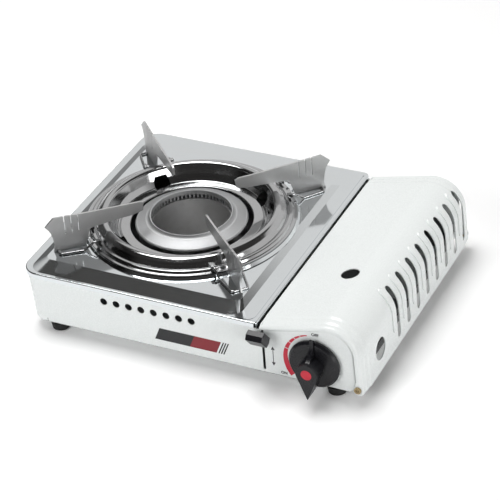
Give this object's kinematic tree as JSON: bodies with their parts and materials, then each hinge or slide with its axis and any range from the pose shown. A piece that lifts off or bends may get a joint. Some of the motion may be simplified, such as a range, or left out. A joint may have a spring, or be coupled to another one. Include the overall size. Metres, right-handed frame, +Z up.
{
  "type": "portable gas stove",
  "caption": "Portable cassette stove with a stainless top tray, stepped round drip bowl, upright pan supports, front knob and lever, and a slotted cartridge cover.",
  "frame": {"origin": "middle of the stove's outline at table height, under the rubber feet", "axes": "+X to the right along the front, +Y to the back, +Z up"},
  "size_m": [0.34, 0.2798, 0.1018],
  "materials": {
    "body_paint": "glossy powder coat",
    "steel_tray": "stainless sheet with a soft mirror finish",
    "chrome": "polished",
    "burner_steel": "satin turned steel",
    "burner_cast": "as cast",
    "support_steel": "satin steel",
    "zinc_sheet": "zinc plated",
    "brass": "turned",
    "die_cast": "die cast",
    "screw_steel": "plated",
    "black_plastic": "moulded, semi-gloss",
    "white_plastic": "moulded",
    "red_plastic": "moulded",
    "black_rubber": "moulded",
    "ceramic": null
  },
  "bodies": {
    "base": {"body_pan": "body_paint", "bracket_screws": "screw_steel", "burner_base": "burner_cast", "burner_bracket": "zinc_sheet", "burner_dish": "burner_cast", "burner_ring": "burner_steel", "cartridge_guide": "zinc_sheet", "cover_buffers": "black_rubber", "diaphragm_cap": "die_cast", "electrode_ceramic": "ceramic", "electrode_tip": "screw_steel", "foot_screws": "screw_steel", "gas_inlet": "brass", "gas_pipe": "brass", "heat_plate": "zinc_sheet", "hinge_screws": "brass", "igniter_body": "black_plastic", "igniter_screw": "screw_steel", "injector": "brass", "lever_pivot": "screw_steel", "mixing_tube": "burner_cast", "partition": "zinc_sheet", "partition_screws": "screw_steel", "regulator_body": "die_cast", "regulator_screws": "screw_steel", "rubber_foot_1": "black_rubber", "rubber_foot_2": "black_rubber", "rubber_foot_3": "black_rubber", "rubber_foot_4": "black_rubber", "slide_guide": "zinc_sheet"},
    "tray_group": {"top_tray": "steel_tray", "drip_bowl": "chrome", "support_lugs": "chrome", "pan_support_1": "support_steel", "pan_support_2": "support_steel", "pan_support_3": "support_steel", "pan_support_4": "support_steel", "wire_loop_1": "chrome", "wire_loop_2": "chrome", "wire_loop_3": "chrome", "wire_loop_4": "chrome"},
    "cover_body": {"cover": "body_paint"},
    "knob_group": {"knob": "black_plastic", "knob_insert": "red_plastic", "valve_shaft": "brass", "igniter_cam": "white_plastic"},
    "lever_group": {"lever_arm": "zinc_sheet", "lever_knob": "black_plastic"},
    "slide_group": {"lock_slide": "zinc_sheet"},
    "plunger_group": {"igniter_plunger": "white_plastic"}
  },
  "joints": [
    {"name": "cover_hinge", "type": "hinge", "parent": "base", "child": "cover_body", "pos_m": [0.1641, 0.009, 0.016], "axis": [0, 1, 0], "range_deg": [0, 95]},
    {"name": "knob_turn", "type": "hinge", "parent": "base", "child": "knob_group", "pos_m": [0.1243, -0.12, 0.035], "axis": [0, -1, 0], "range_deg": [0, 120]},
    {"name": "lever_swing", "type": "hinge", "parent": "base", "child": "lever_group", "pos_m": [0.0745, -0.061, 0.037], "axis": [1, 0, 0], "range_deg": [0, 31]},
    {"name": "lock_slide_move", "type": "slide", "parent": "base", "child": "slide_group", "axis": [0, -1, 0], "range_m": [0, 0.0082]},
    {"name": "plunger_move", "type": "slide", "parent": "base", "child": "plunger_group", "axis": [-1, 0, 0], "range_m": [0, 0.00505]},
    {"name": "tray_lift", "type": "slide", "parent": "base", "child": "tray_group", "axis": [0, 0, 1], "range_m": [0, 0.06]}
  ],
  "couplings": [
    {"joint": "lock_slide_move", "follows": "lever_swing", "m_per_rad": 0.014818},
    {"joint": "plunger_move", "follows": "knob_turn", "m_per_rad": 0.002387}
  ]
}
